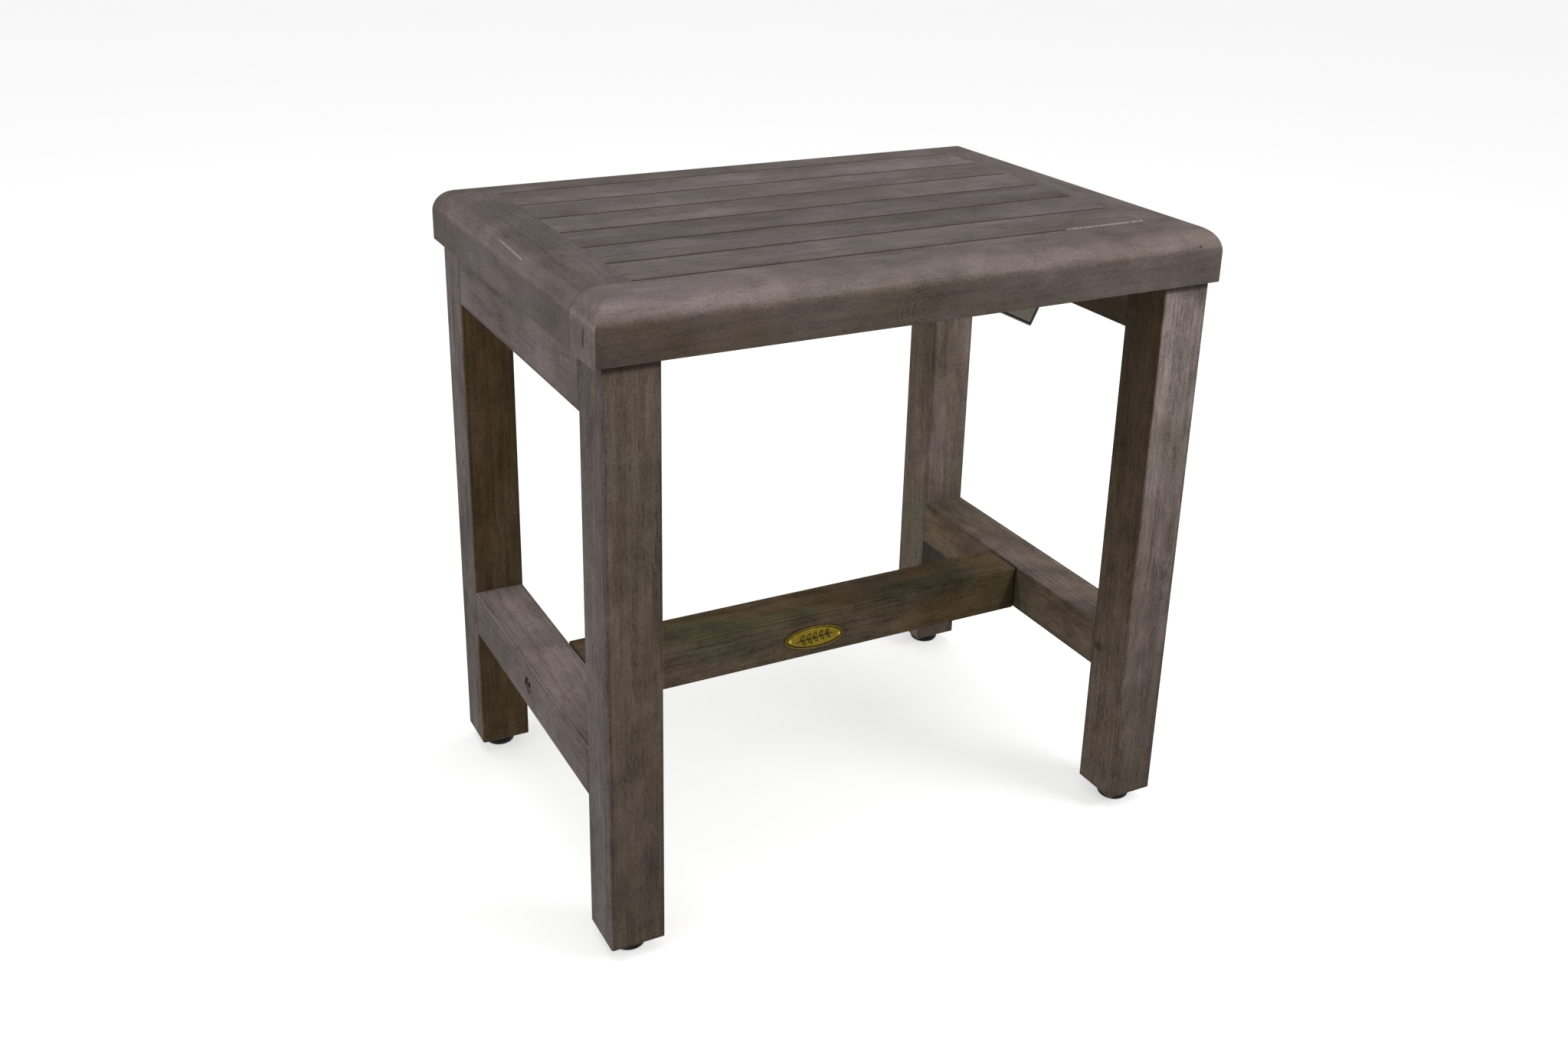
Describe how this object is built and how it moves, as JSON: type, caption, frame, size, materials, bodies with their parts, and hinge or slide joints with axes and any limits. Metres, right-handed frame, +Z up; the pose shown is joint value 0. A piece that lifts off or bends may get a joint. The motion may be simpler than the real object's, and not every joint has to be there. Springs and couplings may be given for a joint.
{
  "type": "bath transfer bench",
  "caption": "Small slatted wooden shower bench: framed seat with a rounded edge, square legs, H stretcher, oval badge and screw-in levelling feet.",
  "frame": {"origin": "on the floor, under the middle of the seat", "axes": "+X along the front of the bench to its right end, +Y from the front to the back, +Z up"},
  "size_m": [0.46, 0.325, 0.457],
  "materials": {
    "seat_teak": "grey-brown stained teak, satin oiled",
    "frame_teak": "grey-brown stained teak, satin oiled",
    "peg_wood": "stained hardwood",
    "stainless_steel": "stainless steel",
    "zinc_steel": "zinc-plated steel",
    "insert_brass": "plain brass",
    "badge_brass": "polished brass with a dark line and ornament",
    "tag_card": "matt grey card with a black border",
    "tag_string": "waxed black string",
    "foot_rubber": "matt black rubber"
  },
  "bodies": {
    "bench": {"seat_front_rail": "seat_teak", "seat_back_rail": "seat_teak", "seat_left_rail": "seat_teak", "seat_right_rail": "seat_teak", "seat_slat_1": "seat_teak", "seat_slat_2": "seat_teak", "seat_slat_3": "seat_teak", "seat_slat_4": "seat_teak", "seat_slat_5": "seat_teak", "seat_slat_6": "seat_teak", "seat_centre_batten": "seat_teak", "leg_front_left": "frame_teak", "leg_back_left": "frame_teak", "leg_front_right": "frame_teak", "leg_back_right": "frame_teak", "left_apron": "frame_teak", "right_apron": "frame_teak", "left_stretcher": "frame_teak", "right_stretcher": "frame_teak", "centre_stretcher": "frame_teak", "batten_screws": "stainless_steel", "seat_bolts": "stainless_steel", "seat_bolt_washers": "stainless_steel", "seat_inserts": "insert_brass", "stretcher_bolts": "stainless_steel", "stretcher_washers": "stainless_steel", "stretcher_barrel_nuts": "stainless_steel", "stretcher_dowels": "peg_wood", "left_tenon_pegs": "peg_wood", "right_tenon_pegs": "peg_wood", "foot_inserts": "insert_brass", "badge_plate": "badge_brass", "badge_pins": "badge_brass", "tag_staple": "stainless_steel"},
    "hang_tag": {"hang_tag": "tag_card", "tag_string": "tag_string"},
    "foot_front_left": {"foot_pad_front_left": "foot_rubber"},
    "stud_front_left": {"foot_stud_front_left": "zinc_steel"},
    "foot_back_left": {"foot_pad_back_left": "foot_rubber"},
    "stud_back_left": {"foot_stud_back_left": "zinc_steel"},
    "foot_front_right": {"foot_pad_front_right": "foot_rubber"},
    "stud_front_right": {"foot_stud_front_right": "zinc_steel"},
    "foot_back_right": {"foot_pad_back_right": "foot_rubber"},
    "stud_back_right": {"foot_stud_back_right": "zinc_steel"}
  },
  "joints": [
    {"name": "tag_swing", "type": "hinge", "parent": "bench", "child": "hang_tag", "pos_m": [0.1514, -0.048, 0.4384], "axis": [1, 0, 0], "range_deg": [-40, 40]},
    {"name": "foot_front_left_height", "type": "slide", "parent": "bench", "child": "foot_front_left", "axis": [0, 0, -1], "range_m": [0, 0.01]},
    {"name": "foot_front_left_thread", "type": "hinge", "parent": "foot_front_left", "child": "stud_front_left", "pos_m": [-0.2045, -0.139, 0.011], "axis": [0, 0, -1], "range_deg": [0, 2880]},
    {"name": "foot_back_left_height", "type": "slide", "parent": "bench", "child": "foot_back_left", "axis": [0, 0, -1], "range_m": [0, 0.01]},
    {"name": "foot_back_left_thread", "type": "hinge", "parent": "foot_back_left", "child": "stud_back_left", "pos_m": [-0.2045, 0.139, 0.011], "axis": [0, 0, -1], "range_deg": [0, 2880]},
    {"name": "foot_front_right_height", "type": "slide", "parent": "bench", "child": "foot_front_right", "axis": [0, 0, -1], "range_m": [0, 0.01]},
    {"name": "foot_front_right_thread", "type": "hinge", "parent": "foot_front_right", "child": "stud_front_right", "pos_m": [0.2045, -0.139, 0.011], "axis": [0, 0, -1], "range_deg": [0, 2880]},
    {"name": "foot_back_right_height", "type": "slide", "parent": "bench", "child": "foot_back_right", "axis": [0, 0, -1], "range_m": [0, 0.01]},
    {"name": "foot_back_right_thread", "type": "hinge", "parent": "foot_back_right", "child": "stud_back_right", "pos_m": [0.2045, 0.139, 0.011], "axis": [0, 0, -1], "range_deg": [0, 2880]}
  ],
  "couplings": [
    {"joint": "foot_front_left_thread", "follows": "foot_front_left_height", "rad_per_m": 5026.5},
    {"joint": "foot_back_left_thread", "follows": "foot_back_left_height", "rad_per_m": 5026.5},
    {"joint": "foot_front_right_thread", "follows": "foot_front_right_height", "rad_per_m": 5026.5},
    {"joint": "foot_back_right_thread", "follows": "foot_back_right_height", "rad_per_m": 5026.5}
  ]
}
